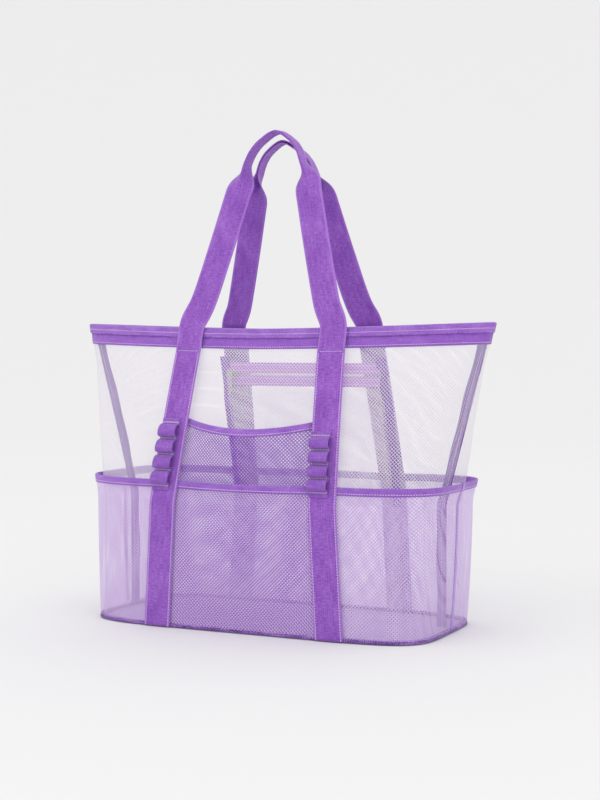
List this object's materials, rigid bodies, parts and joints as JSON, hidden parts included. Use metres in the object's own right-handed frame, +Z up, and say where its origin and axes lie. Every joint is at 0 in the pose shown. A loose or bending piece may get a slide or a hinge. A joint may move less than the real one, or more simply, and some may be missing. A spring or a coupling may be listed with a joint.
{
  "type": "beach bag",
  "caption": "Open-topped mesh tote with webbing straps that run up into two carrying handles, outside pockets, loops for clipping things on and an inner zip pocket.",
  "frame": {"origin": "middle of the bag's base, on the surface it stands on", "axes": "+X to the right along the bag's width, +Y from the front to the back, +Z up through the mouth"},
  "size_m": [0.5822, 0.2468, 0.6306],
  "materials": {
    "back_handle": "woven webbing",
    "back_panel": "open netting",
    "back_pocket": "open netting",
    "back_pocket_binding": "woven webbing",
    "back_strap_left": "woven webbing",
    "back_strap_right": "woven webbing",
    "bottom_panel": "open netting",
    "bottom_seam_binding": "woven binding",
    "front_handle": "woven webbing",
    "front_panel": "open netting",
    "front_pocket": "open netting",
    "front_pocket_binding": "woven webbing",
    "front_strap_left": "woven webbing",
    "front_strap_right": "woven webbing",
    "loop_tape_left": "woven webbing",
    "loop_tape_right": "woven webbing",
    "rim_band": "woven webbing",
    "rim_binding": "woven webbing",
    "side_seam_tape_left": "woven webbing",
    "side_seam_tape_right": "woven webbing",
    "upper_pocket": "open netting",
    "upper_pocket_binding": "woven webbing",
    "zip_binding_left": "woven webbing",
    "zip_binding_right": "woven webbing",
    "zip_coil_lower": "moulded coil",
    "zip_coil_upper": "moulded coil",
    "zip_pocket_panel": "open netting",
    "zip_pull": "polished",
    "zip_slider": "polished",
    "zip_stop_left": "polished",
    "zip_stop_right": "polished",
    "zip_tape_lower": "woven tape",
    "zip_tape_upper": "woven tape"
  },
  "bodies": {
    "bag": {"back_panel": "back_panel", "back_pocket": "back_pocket", "back_pocket_binding": "back_pocket_binding", "back_strap_left": "back_strap_left", "back_strap_right": "back_strap_right", "bottom_panel": "bottom_panel", "bottom_seam_binding": "bottom_seam_binding", "front_panel": "front_panel", "front_pocket": "front_pocket", "front_pocket_binding": "front_pocket_binding", "front_strap_left": "front_strap_left", "front_strap_right": "front_strap_right", "loop_tape_left": "loop_tape_left", "loop_tape_right": "loop_tape_right", "rim_band": "rim_band", "rim_binding": "rim_binding", "side_seam_tape_left": "side_seam_tape_left", "side_seam_tape_right": "side_seam_tape_right", "upper_pocket": "upper_pocket", "upper_pocket_binding": "upper_pocket_binding", "zip_binding_left": "zip_binding_left", "zip_binding_right": "zip_binding_right", "zip_coil_lower": "zip_coil_lower", "zip_coil_upper": "zip_coil_upper", "zip_pocket_panel": "zip_pocket_panel", "zip_stop_left": "zip_stop_left", "zip_stop_right": "zip_stop_right", "zip_tape_lower": "zip_tape_lower", "zip_tape_upper": "zip_tape_upper"},
    "front_handle": {"front_handle": "front_handle"},
    "back_handle": {"back_handle": "back_handle"},
    "zip_slider": {"zip_slider": "zip_slider"},
    "zip_pull": {"zip_pull": "zip_pull"}
  },
  "joints": [
    {"name": "front_handle_fold", "type": "hinge", "parent": "bag", "child": "front_handle", "pos_m": [0, -0.0645, 0.3534], "axis": [1, 0, 0], "range_deg": [0, 150]},
    {"name": "back_handle_fold", "type": "hinge", "parent": "bag", "child": "back_handle", "pos_m": [0, 0.0645, 0.3534], "axis": [-1, 0, 0], "range_deg": [0, 150]},
    {"name": "zip_slide", "type": "slide", "parent": "bag", "child": "zip_slider", "axis": [1, 0, 0], "range_m": [0, 0.205]},
    {"name": "zip_pull_swing", "type": "hinge", "parent": "zip_slider", "child": "zip_pull", "pos_m": [-0.1035, 0.05642, 0.317], "axis": [-1, 0, 0], "range_deg": [0, 150]}
  ]
}
